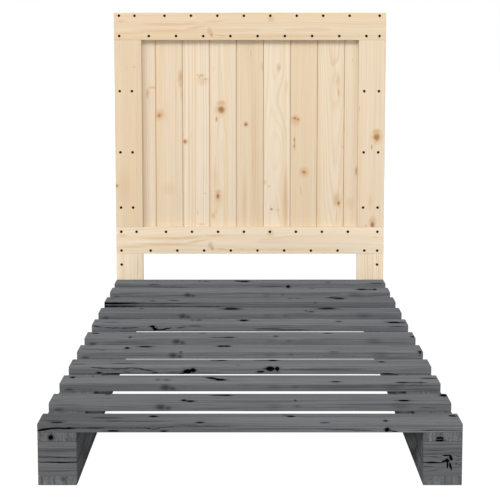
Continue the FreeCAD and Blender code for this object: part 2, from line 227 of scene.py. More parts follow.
FRONT_SMEARS_AND_PAINTED_SHADE = {
    # The long faint smear across slat_01's front is painted shade, darkening most of that face.
    "slat_01": [(-228, 3, 20, 9, 55), (-500, 0, 1120, 60, 46)],
    "slat_04": [(-212, -5.5, 32, 7, 60)],
    "slat_09": [(-480, 1, 180, 20, 45), (224, 8, 13, 8, 55)],
    "left_stringer": [(-11, -0.8, 20, 20, 45)],
    "left_block_1": [(-8, 18, 84, 7, 45)],
    "left_runner": [(13, 4.5, 12, 10, 75)],
    "left_stile": [(23, 248, 15, 7, 45), (-20, -194, 44, 120, 22)],
    "right_stile": [
        (20, 12, 28, 17, 60), (-2, -254, 15, 60, 30), (8, -322, 26, 36, 40), (-17, -342, 9, 11, 45),
    ],
    # The long narrow smear on panel_board_1 is painted shadow of the left stile, together with grey-brown
    # streaks in the wood.
    "panel_board_1": [(20, 151, 13, 40, 55), (38, 172, 32, 9, 50), (5, -60, 26, 1300, 26)],
    "panel_board_2": [
        (-34, 72, 36, 36, 50), (43, 211, 17, 52, 70), (43, 186, 12, 30, 55), (0, -204, 44, 40, 18),
    ],
    "panel_board_3": [
        (18, 217, 24, 11, 62), (14, 209, 11, 11, 55), (35, 203, 20, 10, 55), (25, 196, 36, 32, 30),
        (33, -222, 9, 6, 38), (18, -338, 28, 10, 38),
    ],
    "panel_board_4": [
        (-7, 116, 28, 17, 62), (-18, -214, 28, 15, 45), (-18, -238, 40, 64, 26), (-37, -306, 17, 26, 48),
        (-28, -289, 13, 32, 26), (-30, -164, 15, 100, 22),
    ],
    "panel_board_5": [(-20, -250, 15, 190, 28), (17, -60, 22, 700, 16), (46, 251, 12, 32, 40)],
    "panel_board_6": [
        (7, 246, 15, 26, 55), (35, 176, 11, 44, 24), (-30, -194, 11, 9, 42), (-44, -180, 11, 15, 34),
        (33, -250, 18, 230, 50), (7, -284, 15, 11, 32),
    ],
    "panel_board_7": [(-30, 51, 32, 36, 52), (-45, 58, 7, 15, 50), (2, -142, 30, 34, 55)],
    "panel_board_8": [(25, 196, 14, 42, 45), (25, -249, 27, 52, 52), (45, -49, 7, 16, 36)],
    "panel_board_9": [(-28, -259, 32, 42, 22)],
    **dict.fromkeys(PLAIN_SLATS, [
        (-222, 0, 25, 15, 95), (-204, -3, 18, 10, 80), (-475, -6, 22, 8, 75), (118, 2, 18, 9, 38),
        (60, 1, 36, 14, 25), (375, 2, 46, 16, 38),
    ]),
    **dict.fromkeys(RAILS, [
        (-148, -18, 18, 26, 50), (77, 28, 25, 24, 40), (-475, 18, 34, 13, 32), (150, -34, 420, 10, 20),
    ]),
}
FRONT_ARCHES = {
    "panel_board_6": [(6, 121, 40, 130, 60), (5, -214, 36, 120, 50)],
    "panel_board_8": [(20, 175, 22, 110, 80)],
}
FRONT_BANDS = dict.fromkeys(RAILS, [
    (-132, 18, 100, 13, 50, 5), (-310, 8, 270, 14, 55, -2), (-222, 11, 100, 13, 55, 9),
    (-320, -15, 300, 16, 55), (-200, -4, 120, 14, 58, 20), (-450, -25, 190, 12, 45, 9),
])
TOP_CRACKS = {
    "slat_01": [
        (-340, 6, 100, 9, 70), (-318, -22, 64, 9, 72), (-250, -23, 200, 7.5, 62), (-465, -20, 80, 7.5, 60),
        (-231, 20, 30, 16.5), (98, 20, 28, 15), (177, -36, 32, 12, 75), (486, 24, 28, 15, 96, -12),
    ],
    "slat_02": [(-78, 30, 64, 12, 84), (30, -30, 330, 7.5, 48)],
    "slat_03": [(-92, 6, 70, 15, 100, -30), (432, -34, 90, 12, 66), (475, 12, 60, 16.5, 66)],
    "slat_04": [(-352, -4, 90, 10.5, 60), (-475, -16, 60, 9, 54), (36, 34, 70, 10.5, 72)],
    "slat_05": [(-450, -16, 110, 9, 48)],
    "slat_06": [(-474, 26, 30, 18, 90), (-87, -32, 96, 12, 78), (240, 26, 42, 15, 84)],
    "slat_07": [(-442, -6, 70, 13.5, 54), (484, -5, 40, 12, 78)],
    "slat_09": [(-262, -14, 54, 18, 72), (140, 24, 26, 13, 60), (164, 24, 30, 13, 65), (284, 34, 56, 16, 90)],
    "slat_10": [(432, 9, 60, 16.5, 90)],
    "slat_11": [(-36, 10, 56, 22, 95)],
}
TOP_KNOTS = {
    "slat_01": [(-455, -34, 26, 13, 75), (-118, -34, 16, 12, 85), (321, -20, 11, 13, 75)],
    "slat_02": [
        (-165, -20, 13, 14), (-149, -29, 18, 15), (-60, 30, 24, 12), (113, -22, 7, 12, 55),
        (384, -23, 24, 15), (490, 30, 16, 21),
    ],
    "slat_03": [
        (-473, 23, 12, 15, 90), (-106, 18, 20, 11), (-78, -5, 24, 19), (226, -26, 20, 15, 65),
        (400, -34, 26, 14, 75),
    ],
    "slat_04": [(-80, 32, 24, 13, 70), (64, 33, 22, 16.5), (368, 13, 16, 15, 68)],
    "slat_05": [
        (-359, 4, 14, 20, 95), (-307, 23, 36, 16.5), (-85, 31, 20, 18), (-68, 31, 18, 18),
        (491, -41, 10, 12, 80),
    ],
    "slat_06": [(-363, -29, 10, 17, 65), (-64, -32, 28, 13), (78, -17, 13, 15, 62), (494, -24, 14, 15, 90)],
    "slat_07": [(-20, 31, 26, 27), (284, 9, 18, 14, 62), (459, -5, 36, 22)],
    "slat_08": [(-62, 24, 50, 27), (258, 28, 54, 21), (203, -24, 18, 17, 62)],
    "slat_09": [(310, 22, 30, 24)],
    "slat_10": [(402, 10, 32, 24), (450, 10, 12, 22), (139, 43, 14, 13.5)],
    "slat_11": [(-20, 5, 30, 27), (467, -34, 44, 16, 75)],
}
TOP_SMEARS = {
    "slat_01": [(-500, 0, 620, 400, 40), (-420, -39, 9, 24, 56), (88, 30, 20, 18, 50)],
    "slat_02": [(-362, 40, 13, 14.4), (368, 44, 20, 10.8, 62)],
    "slat_03": [
        (-421, 34, 9, 12, 62), (-244, -4, 15, 24, 62), (-221, -6, 22, 19.2, 75), (448, -34, 15, 16.8, 75),
    ],
    "slat_04": [(-103, 33, 14, 15.6, 81), (-33, -27, 15, 13.2, 62)],
    "slat_05": [(-468, 41, 19, 14.4, 62), (-200, -42, 11, 15.6, 81), (243, -41, 30, 12, 75)],
    "slat_06": [(-146, 26, 21, 15.6, 81)],
    "slat_07": [(-185, 31, 13, 25.2, 69), (-164, 31, 20, 25.2, 81)],
    "slat_08": [(-362, 29, 13, 21.6, 81), (186, -8, 13, 26.4, 69)],
    "slat_09": [(-336, -24, 21, 28.8, 69)],
    "slat_10": [(227, 28, 17, 18, 50)],
    "slat_11": [
        (-187, 6, 13, 21.6, 62), (-164, 6, 19, 24, 75), (-50, 16, 23, 28.8, 81), (290, -17, 23, 28.8, 69),
    ],
}
MARKS = (
    ("front", "crack", FRONT_CRACKS),
    ("front", "knot", FRONT_KNOTS),
    ("front", "smear", FRONT_SMEARS_AND_PAINTED_SHADE),
    ("front", "arch", FRONT_ARCHES),
    ("front", "band", FRONT_BANDS),
    ("top", "crack", TOP_CRACKS),
    ("top", "knot", TOP_KNOTS),
    ("top", "smear", TOP_SMEARS),
)

# How warm each natural board and how dark each stained one is, from pale to deep; the deep tones of the
# skids' blocks, stringers and runners are partly painted shade.
TONES = {
    "panel_board_1": 0.15, "panel_board_2": 0.68, "panel_board_3": 0.22, "panel_board_4": 0.48,
    "panel_board_5": 0.86, "panel_board_6": 0.28, "panel_board_7": 0.9, "panel_board_8": 0.5,
    "panel_board_9": 0.45, "left_stile": 0.96, "right_stile": 0.6, "headboard_top_rail": 0.86,
    "headboard_bottom_rail": 0.45, "left_leg": 0.42, "right_leg": 0.4, "slat_01": 0.58, "left_block_1": 0.85,
    "right_block_1": 0.9, "left_stringer": 0.85, "right_stringer": 0.85, "left_runner": 0.75,
    "right_runner": 0.75,
}
MIDDLE_TONE = 0.5
# How light a board is among those of its finish, in all colours or in red, green and blue, partly as painted
# light and shade.
# Painted light: the bottom rail and legs are lightened against their shade, the skids' blocks, stringers and
# runners are darkened as painted shade, and the far slats are cooled against the headboard's warm reflected
# light.
TONE_AND_PAINTED_LIGHT_GAINS = {
    "headboard_bottom_rail": 1.06, "left_leg": 1.08, "right_leg": 1.1, "left_block_1": 0.88,
    "right_block_1": 0.88, "left_stringer": 0.86, "right_stringer": 0.86, "left_runner": 0.83,
    "right_runner": 0.83, "slat_01": 1.05, "slat_02": 0.96, "slat_03": 1.04, "slat_04": 1.07, "slat_05": 1.05,
    "slat_06": 1.03, "slat_07": Vector((1.03, 1.03, 1.05)), "slat_08": Vector((0.93, 0.93, 0.94)),
    "slat_09": Vector((0.87, 0.87, 0.89)), "slat_10": Vector((1.01, 1.02, 1.05)),
    "slat_11": Vector((0.95, 0.96, 0.99)),
}
# Slats that were laid a little nearer the foot than their pitch.
LAID_NEARER = {"slat_05": 4 * MM, "slat_08": 4 * MM}
# Boards sawn near the middle of the trunk, with flame figure; the others have straight grain.
FLAMED = ("panel_board_4", "panel_board_6", "panel_board_8", *RAILS)


def tint(red, green, blue):
    """Scene-linear colour from the 8-bit values of a paint sample."""
    parts = (value / 255 for value in (red, green, blue))
    return tuple(v / 12.92 if v <= 0.04045 else ((v + 0.055) / 1.055) ** 2.4 for v in parts)


def colour(label, about, default):
    return FloatVectorProperty(name=label, description=about, default=default, subtype="COLOR", min=0, max=1)


def length(label, about, millimetres):
    units = {"subtype": "DISTANCE", "unit": "LENGTH"}
    return FloatProperty(name=label, description=about, default=millimetres * MM, min=0, **units)


def amount(label, about, default):
    return FloatProperty(name=label, description=about, default=default, min=0)


class BedBoardSizes(bpy.types.PropertyGroup):
    base_arris: length("Base arris", "Rounding of the long edges of deck and skid boards", 2.2)
    frame_arris: length("Frame arris", "Rounding of the long edges of the headboard's frame", 1.4)
    crisp_arris: length("Crisp arris", "Rounding of a slat's back and lower edges", 0.6)
    end_arris: length("End arris", "Bevel round the sawn ends", 0.8)
    base_wave: length("Base wave", "How far the deck and skid boards depart from straight", 0.3)
    frame_wave: length("Frame wave", "How far the headboard's boards depart from straight", 0.15)
    tongue: length("Tongue", "Length of the tongue on a panel board", 6)
    tongue_thick: length("Tongue thickness", "Thickness of the tongue on a panel board", 6)
    tongue_clear: length("Tongue clearance", "Play round the tongue in its groove", 0.3)
    vee: length("Vee", "Depth of the vee along the joints of the panel", 2.5)
    slit: length("Slit", "Open joint between two panel boards behind the vee", 0.7)


class BedWoodColours(bpy.types.PropertyGroup):
    sapwood: colour("Sapwood", "Palest wood of the headboard", tint(239, 225, 203))
    heartwood: colour("Heartwood", "Warmer wood of the headboard", tint(227, 206, 176))
    blush: colour("Blush", "Yellow bands in the headboard", tint(231, 205, 165))
    latewood: colour("Latewood", "Dark line of a growth ring in the headboard", tint(203, 160, 113))
    halo: colour("Knot halo", "Wood round a knot in the headboard", tint(212, 162, 106))
    knot: colour("Knot", "Heart of a knot in the headboard", tint(140, 80, 36))
    smear: colour("Smear", "Soft brown patches in the headboard", tint(202, 153, 102))
    amber: colour("Amber", "Wide growth bands of the headboard's rails", tint(221, 179, 126))
    # Painted shade on the narrow faces of the headboard's frame; it also dims the light that the bottom
    # rail's top throws onto the panel.
    dust: colour("Dulled edge", "Dulled edges of the headboard's frame", tint(150, 140, 126))
    resin: colour("Resin", "Resin streaks in the headboard", tint(142, 88, 46))
    stain_light: colour("Light stain", "Palest grey of the stained boards", tint(136, 138, 140))
    stain_mid: colour("Stain", "Common grey of the stained boards", tint(116, 118, 120))
    stain_dark: colour("Dark stain", "Growth lines of the stained boards", tint(58, 59, 61))
    stain_black: colour("Stained crack", "Knots and cracks of the stained boards", tint(6, 6, 7))


class BedScrewSizes(bpy.types.PropertyGroup):
    head_radius: length("Head radius", "Radius of a black screw's head", 5.0)
    head_rise: length("Head rise", "How far a head stands out of the wood", 0.9)
    recess_reach: length("Recess reach", "Reach of the cross recess", 2.2)
    recess_depth: length("Recess depth", "Depth of the cross recess", 0.75)
    seed: IntProperty(name="Seed", description="Seed for the turn of each screw", default=7, min=0)


class BedStudio(bpy.types.PropertyGroup):
    floor: colour("Floor", "Pale floor", (0.72, 0.72, 0.72))
    floor_glow: amount("Floor glow", "How far the floor is lifted to white", 0.88)
    key: amount("Key light", "Strength of the soft light from above", 1.35)
    side: amount("Side light", "Strength of the light from the left", 0.85)
    fill: amount("Fill light", "Strength of the low light from the right", 0.45)
    sky: amount("Sky", "Strength of the surrounding light", 0.52)
    lens: FloatProperty(name="Lens", description="Focal length", default=101.71, unit="CAMERA")


def both_ways(operation):
    """An operator on two values, and its reflected form."""

    def plain(self, other):
        return self.math(operation, self, other)

    def reflected(self, other):
        return self.math(operation, other, self)

    return plain, reflected


def one_way(operation):
    """A function of one value."""

    def plain(self):
        return self.math(operation, self)

    return plain


class Wire:
    """A node's output that takes part in sums; each operator adds a Math node."""

    __add__, __radd__ = both_ways("ADD")
    __sub__, __rsub__ = both_ways("SUBTRACT")
    __mul__, __rmul__ = both_ways("MULTIPLY")
    __truediv__, __rtruediv__ = both_ways("DIVIDE")
    __abs__ = one_way("ABSOLUTE")
    root = one_way("SQRT")
    fract = one_way("FRACT")
    floor = one_way("FLOOR")
    sign = one_way("SIGN")
    most = both_ways("MAXIMUM")[0]
    least = both_ways("MINIMUM")[0]

    def __init__(self, nodes, socket):
        self.nodes = nodes
        self.socket = socket

    def out(self, name):
        return Wire(self.nodes, self.nodes.port(self.socket.node.outputs, name))

    def math(self, operation, *values):
        return self.nodes.add("ShaderNodeMath", dict(enumerate(values)), operation=operation)

    def smooth(self, low, high, top=1.0):
        """0 at low, top at high and smooth between; low may be the larger."""
        sockets = {"Value": self, "From Min": low, "From Max": high, "To Max": top}
        return self.nodes.add("ShaderNodeMapRange", sockets, interpolation_type="SMOOTHSTEP")


class Nodes:
    """Adds nodes to one tree."""

    def __init__(self, tree):
        self.tree = tree

    @staticmethod
    def port(ports, name):
        """The socket with the given number, identifier or name."""
        if isinstance(name, int):
            return ports[name]
        for port in ports:
            if port.identifier == name:
                return port
        return ports[name]

    def add(self, kind, sockets=None, out=0, **settings):
        """A node with its inputs linked or set; gives the named output, or the node if it has none."""
        made = self.tree.nodes.new(kind)
        for name, value in settings.items():
            setattr(made, name, value)
        for name, value in (sockets or {}).items():
            port = self.port(made.inputs, name)
            if isinstance(value, Wire):
                self.tree.links.new(value.socket, port)
            else:
                port.default_value = value
        if not made.outputs:
            return made
        return Wire(self, self.port(made.outputs, out))

    def mix(self, factor, first, second):
        """Colour between first and second."""
        sockets = {"Factor_Float": factor, "A_Color": rgba(first), "B_Color": rgba(second)}
        return self.add("ShaderNodeMix", sockets, "Result_Color", data_type="RGBA")

    def xyz(self, **parts):
        return self.add("ShaderNodeCombineXYZ", parts)

    def split(self, vector):
        """The three parts of a vector."""
        made = self.add("ShaderNodeSeparateXYZ", {0: vector})
        return made, made.out("Y"), made.out("Z")

    def vector(self, operation, *values, out=0):
        return self.add("ShaderNodeVectorMath", dict(enumerate(values)), out, operation=operation)

    def noise(self, place, name, offset, out="Fac"):
        """One of the listed noises, moved by the offset."""
        scale, detail, *fade = WAVES[name]
        spread = self.add("ShaderNodeMapping", {"Vector": place, "Location": offset, "Scale": scale})
        made = self.add("ShaderNodeTexNoise", {"Vector": spread, "Scale": 1.0, "Detail": detail}, out)
        return made.smooth(*fade) if fade else made

    def by_camera(self, other, seen, share=1.0):
        """The first shader for other rays, and the second by its share for those of the camera."""
        ray = self.add("ShaderNodeLightPath", out="Is Camera Ray")
        return self.add("ShaderNodeMixShader", {0: ray * share, 1: other, 2: seen})

    def bump(self, height, strength, distance):
        return self.add("ShaderNodeBump", {"Strength": strength, "Distance": distance, "Height": height})


def rgba(value):
    return value if isinstance(value, Wire) else (*value[:3], 1.0)


def new_material(name):
    """An empty node material and the builder of its tree."""
    made = bpy.data.materials.new(name)
    made.use_nodes = True
    made.node_tree.nodes.clear()
    return made, Nodes(made.node_tree)


def close_material(nodes, sockets):
    """Puts a Principled shader with the given inputs at the end of the tree."""
    shader = nodes.add("ShaderNodeBsdfPrincipled", sockets)
    nodes.add("ShaderNodeOutputMaterial", {"Surface": shader})


def new_object(name, data):
    """A new object in the scene."""
    made = bpy.data.objects.new(name, data)
    bpy.context.scene.collection.objects.link(made)
    return made


class Board:
    """Place, size and grain of one board, read from its CAD node."""

    def __init__(self, node, turn):
        low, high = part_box(node)
        self.node = node
        self.turn = turn
        self.centre = (low + high) / 2
        self.size = high - low
        self.draws = random.Random(node)
        self.offset = tuple(self.draws.uniform(-NOISE_REACH, NOISE_REACH) for _ in range(3))
        self.face_width = self.own_size[ACROSS]
        self.vee_share = 0.0
        self.worn_front = False

    def own(self, vector):
        """A direction of the bed in the board's own axes."""
        return self.turn.transposed() @ vector

    @property
    def own_size(self):
        return Vector(abs(value) for value in self.own(self.size))


class Mark:
    """One listed mark: its place, half sizes, strength and the directions along and across it."""

    def __init__(self, board, face, row, depth):
        sideways, other, size_sideways, size_other, *rest = row
        percent, rise = [*rest, *FULL_AND_LEVEL[len(rest):]]
        flat, deep = (2, 1) if face == "front" else (1, 2)
        spot = board.centre.copy()
        spot.x += sideways * MM
        spot[flat] += other * MM
        spot[deep] += board.size[deep] / 2 * (-1 if face == "front" else 1)
        half = Vector((size_sideways, 0, 0))
        half[flat] = size_other
        half *= MM / 2
        half[deep] = depth
        lengthwise = size_sideways >= size_other
        self.long, self.short = (0, flat) if lengthwise else (flat, 0)
        slant = math.atan2(rise, max(size_sideways, size_other))
        along, across = Vector(), Vector()
        along[self.long], along[self.short] = math.cos(slant), math.sin(slant)
        across[self.long], across[self.short] = -math.sin(slant), math.cos(slant)
        self.spot, self.half, self.along, self.across = spot, half, along, across
        self.strength = percent / 100

    def away(self, nodes, where, stretch=(1.0, 1.0)):
        """Distance from the mark's middle, 1 at its edge, with its long and short halves stretched."""
        half = self.half.copy()
        half[self.long] *= stretch[0]
        half[self.short] *= stretch[1]
        scale = Vector(1 / value for value in half)
        moved = nodes.vector("MULTIPLY_ADD", where, scale, -self.spot * scale)
        return nodes.vector("LENGTH", moved, out="Value")

    def reach(self, nodes, where, way, half):
        """Signed distance from the mark's middle one way, 1 at the given half size."""
        return nodes.vector("DOT_PRODUCT", where, way / half, out="Value") - self.spot.dot(way) / half


def listed_marks(board, depth):
    """Kind and mark of each row that is listed for the board."""
    for face, kind, boards in MARKS:
        for row in boards.get(board.node, ()):
            yield kind, Mark(board, face, row, depth)


def mark_masks(nodes, board, torn, bent, finish):
    """Masks of the board's marks by layer, and their push on the growth rings."""
    masks = dict.fromkeys(("heart", "rim", "halo", "smear", "crack", "band", "push"))

    def gather(layer, wire, add=False):
        held = masks[layer]
        masks[layer] = wire if held is None else (held + wire if add else held.most(wire))

    for kind, mark in listed_marks(board, finish.mark_depth):
        strength = mark.strength
        if kind in ("crack", "band"):
            where = torn if finish.stained else bent
            along = mark.reach(nodes, where, mark.along, mark.half[mark.long])
            across = mark.reach(nodes, where, mark.across, mark.half[mark.short] * CRACK_SPREAD)
            lens = abs(across) + along * along
            gather(kind, lens.smooth(1.0, finish.crack_core, strength))
            continue
        away = mark.away(nodes, torn)
        if kind == "smear":
            gather("smear", away.smooth(*SMEAR_FADE, strength))
            continue
        lift = mark.half[mark.short] * (KNOT_PUSH if kind == "knot" else 1.0) * strength
        gather("push", away.smooth(PUSH_REACH, 0.0, lift), add=True)
        if kind == "arch":
            continue
        gather("halo", away.smooth(*finish.halo_fade, strength))
        gather("heart", away.smooth(*finish.heart_fade, strength))
        if finish.stained:
            tail = mark.away(nodes, torn, TAIL_STRETCH)
            gather("crack", tail.smooth(*TAIL_FADE, strength * TAIL_SHARE))
        else:
            gather("rim", abs(away - RIM_PLACE).smooth(*RIM_FADE, strength))
    return masks


# Colours and values of the two finishes of pine: stained grey, natural.
FINISH_COLOURS = {
    "pale": ("stain_light", "sapwood"),
    "deep": ("stain_mid", "heartwood"),
    "blush": ("stain_mid", "blush"),
    "line": ("stain_dark", "latewood"),
    "halo": ("stain_dark", "halo"),
    "heart": ("stain_black", "knot"),
    "dark": ("stain_black", "resin"),
    "crack": ("stain_black", "smear"),
    "smear": ("stain_dark", "smear"),
    "band": ("stain_dark", "amber"),
    # Painted shade on the boards' narrow faces.
    "edge": ("stain_dark", "dust"),
}
FINISH_VALUES = {
    "line_share": (0.44, 0.29),
    "fibre_share": (0.55, 0.13),
    "blush_share": (0.4, 0.5),
    "check_share": (0.5, 0.16),
    "fleck_share": (0.9, 0.3),
    "streak_share": (1.6, 0.8),
    "end_share": (0.5, 0.45),
    # Share and reach of the painted shade on the boards' narrow faces.
    "edge_share": (0.25, 0.26),
    "edge_reach": (2.6 * MM, 1.2 * MM),
    "halo_fade": ((2.4, 0.6), (2.7, 0.5)),
    "heart_fade": ((1.2, 0.95), (1.2, 0.15)),
    "crack_core": (0.55, 0.0),
    "crack_lift": (-2.0, -0.3),
    "mark_depth": (9 * MM, 10.0),
    "bend": (3.0 * MM, 7.0 * MM),
    "tear": (3.2 * MM, 4.0 * MM),
    "ring_width": ((3.6, 5.6), (5.0, 8.0)),
    "rough": (0.74, 0.6),
    "shine": (0.0, 0.22),
}


class Finish:
    """Colours and values of one finish of pine."""

    def __init__(self, stained):
        wood = bpy.context.scene.bed_wood
        self.stained = stained
        column = 0 if stained else 1
        for name, pair in FINISH_COLOURS.items():
            setattr(self, name, getattr(wood, pair[column]))
        for name, pair in FINISH_VALUES.items():
            setattr(self, name, pair[column])


def pith_line(board):
    """Where the middle of the trunk runs beside the board, how it leans and how much it wanders."""
    draws = board.draws
    flip, turn = draws.choice((-1, 1)), draws.choice((-1, 1))
    ranges = STRAIGHT_PITH
    if board.node in FLAMED:
        flip, ranges = 1, FLAMED_PITH
    sideways, deep, lean_sideways, lean_deep, wander = ranges
    middle = (flip * draws.uniform(*sideways), turn * draws.uniform(*deep))
    return middle, (draws.uniform(*lean_sideways), draws.uniform(*lean_deep)), wander


def strayed(nodes, where, noise, reach):
    """The coordinates, each moved up to half the reach either way."""
    apart = nodes.vector("SUBTRACT", noise, (0.5, 0.5, 0.5))
    return nodes.vector("MULTIPLY_ADD", apart, (reach, reach, reach), where)


def late_wood(nodes, board, coords, noise, push, finish):
    """The dark part of each growth ring round the pith line."""
    middle, lean, wander = pith_line(board)
    across, thick, along = coords
    sway = nodes.split(noise("sway", "Color"))
    side = across - middle[0] + along * lean[0] + (sway[0] - 0.5) * wander
    deep = thick - middle[1] + along * lean[1] + (sway[1] - 0.5) * wander
    radius = (side * side + deep * deep).root()
    if push is not None:
        radius = radius + push
    phase = radius / (board.draws.uniform(*finish.ring_width) * MM)
    ring = phase.fract()
    tone = nodes.add("ShaderNodeTexWhiteNoise", {"W": phase.floor() + board.offset[0]}, noise_dimensions="1D")
    return ring.smooth(*RING_RISE) * ring.smooth(*RING_FALL) * (tone * (1 - RING_LEAST) + RING_LEAST)


def pine(board, stained):
    """Pine with growth rings round a pith line, fibres, knots and cracks; natural or stained grey; with
    painted shade on its narrow faces and in its vees.
    """
    finish = Finish(stained)
    material, nodes = new_material(board.node.replace("_", " ") + (" grey pine" if stained else " pine"))
    where = nodes.add("ShaderNodeTexCoord", out="Object")
    place_sockets = {"Vector": where, "Location": board.centre, "Rotation": board.turn.to_euler()}
    place = nodes.add("ShaderNodeMapping", place_sockets, vector_type="TEXTURE")
    coords = nodes.split(place)

    def noise(name, out="Fac", offset=board.offset):
        return nodes.noise(place, name, offset, out)

    bent = strayed(nodes, where, noise("broad", "Color"), finish.bend)
    torn = strayed(nodes, bent, noise("fine", "Color"), finish.tear)
    masks = mark_masks(nodes, board, torn, bent, finish)
    late = late_wood(nodes, board, coords, noise, masks["push"], finish)
    streak = noise("streak")
    blush = noise("blush", offset=board.offset[::-1])
    fibre = noise("fibre")
    check = noise("check")
    bands = noise("bands")
    fleck = noise("fleck", offset=board.offset[::-1])
    half_along, half_face = board.own_size[ALONG] / 2, board.face_width / 2
    sawn = abs(coords[ALONG]).smooth(*(half_along - reach for reach in SAWN_REACH))
    # Painted shade: faces within reach of the board's long sides darken, or the vees of a panel board.
    edge_share, edge_colour, edge_reach = finish.edge_share, finish.edge, finish.edge_reach
    if board.vee_share:
        edge_share, edge_colour, edge_reach = board.vee_share, finish.line, VEE_REACH
    # A slat takes the painted shade on its front face alone, other boards on both long sides.
    sideways = coords[ACROSS] * -1.0 if board.worn_front else abs(coords[ACROSS])
    edge = sideways.smooth(half_face - edge_reach, half_face - edge_reach * EDGE_FULL)

    # The gain carries painted light and shade as well as the board's own tone.
    gain = TONE_AND_PAINTED_LIGHT_GAINS.get(board.node, 1.0)
    pale, deep = (tuple(Vector(shade) * gain) for shade in (finish.pale, finish.deep))
    base = nodes.mix((streak - 0.5) * finish.streak_share + TONES.get(board.node, MIDDLE_TONE), pale, deep)
    if masks["heart"] is not None and not stained:
        masks["heart"] = masks["heart"] * (noise("mottle") * KNOT_MOTTLE + (1 - KNOT_MOTTLE))
    layers = (
        (blush, finish.blush_share, finish.blush),
        (late, finish.line_share, finish.line),
        (fibre.smooth(*FIBRE_FADE) * (1.0 - sawn * FIBRE_LOSS_AT_END), finish.fibre_share, finish.line),
        (check, finish.check_share, finish.line),
        (fleck, finish.fleck_share, finish.dark),
        (sawn * bands, finish.end_share, finish.line),
        (edge, edge_share, edge_colour),
        (masks["band"], 1.0, finish.band),
        (masks["smear"], 1.0, finish.smear),
        (masks["halo"], HALO_SHARE, finish.halo),
        (masks["heart"], 1.0, finish.heart),
        (masks["rim"], RIM_SHARE, finish.dark),
        (masks["crack"], 1.0, finish.crack),
    )
    for mask, share, shade in layers:
        if mask is not None:
            base = nodes.mix(mask * share, base, shade)
    height = late * LATE_LIFT + fibre * FIBRE_LIFT + check * CHECK_LIFT
    for mask, lift in ((masks["heart"], HEART_LIFT), (masks["crack"], finish.crack_lift)):
        if mask is not None:
            height = height + mask * lift
    roughness = finish.rough + fibre * FIBRE_ROUGH + late * LATE_ROUGH
    bump = nodes.bump(height, GRAIN_BUMP, GRAIN_RELIEF)
    sockets = {"Base Color": base, "Roughness": roughness, "Normal": bump, "Specular IOR Level": finish.shine}
    close_material(nodes, sockets)
    return material


def metal(name, noise, offset, fade, rough, strength, shades, constants):
    """A metal whose colour, roughness and relief follow one noise."""
    material, nodes = new_material(name)
    grain = nodes.noise(nodes.add("ShaderNodeTexCoord", out="Object"), noise, offset)
    sockets = {
        "Base Color": nodes.mix(grain.smooth(*fade), *shades),
        "Roughness": grain * rough[0] + rough[1],
        "Normal": nodes.bump(grain, strength, METAL_RELIEF),
    }
    close_material(nodes, {**sockets, **constants})
    return material


def black_phosphate():
    """Dull black coat of the visible screws, with faint brown specks."""
    return metal(
        "black phosphate", "speck", offset=(3, 5, 7), fade=(0.4, 0.7), rough=(0.2, 0.5), strength=0.3,
        shades=(tint(40, 22, 4), tint(54, 34, 10)), constants={"Specular IOR Level": 0.05},
    )


def zinc_plate():
    """Zinc-plated steel with a faint cloudy grain."""
    return metal(
        "zinc plate", "cloud", offset=(1, 2, 3), fade=(0.35, 0.65), rough=(0.25, 0.25), strength=0.2,
        shades=(tint(176, 180, 184), tint(206, 209, 212)), constants={"Metallic": 1.0},
    )


def new_tree(name, inputs):
    """A Geometry Nodes tree with the given named inputs and a Geometry output."""
    tree = bpy.data.node_groups.new(name, "GeometryNodeTree")
    tree.is_modifier = True
    for label, kind in inputs.items():
        tree.interface.new_socket(label, in_out="INPUT", socket_type="NodeSocket" + kind)
    tree.interface.new_socket("Geometry", in_out="OUTPUT", socket_type="NodeSocketGeometry")
    nodes = Nodes(tree)
    entry = nodes.add("NodeGroupInput")
    return tree, nodes, {label: entry.out(label) for label in inputs}


def end_tree(nodes, shape, material):
    whole = nodes.add("GeometryNodeRealizeInstances", {"Geometry": shape})
    dressed = nodes.add("GeometryNodeSetMaterial", {"Geometry": whole, "Material": material})
    nodes.add("NodeGroupOutput", {"Geometry": dressed})


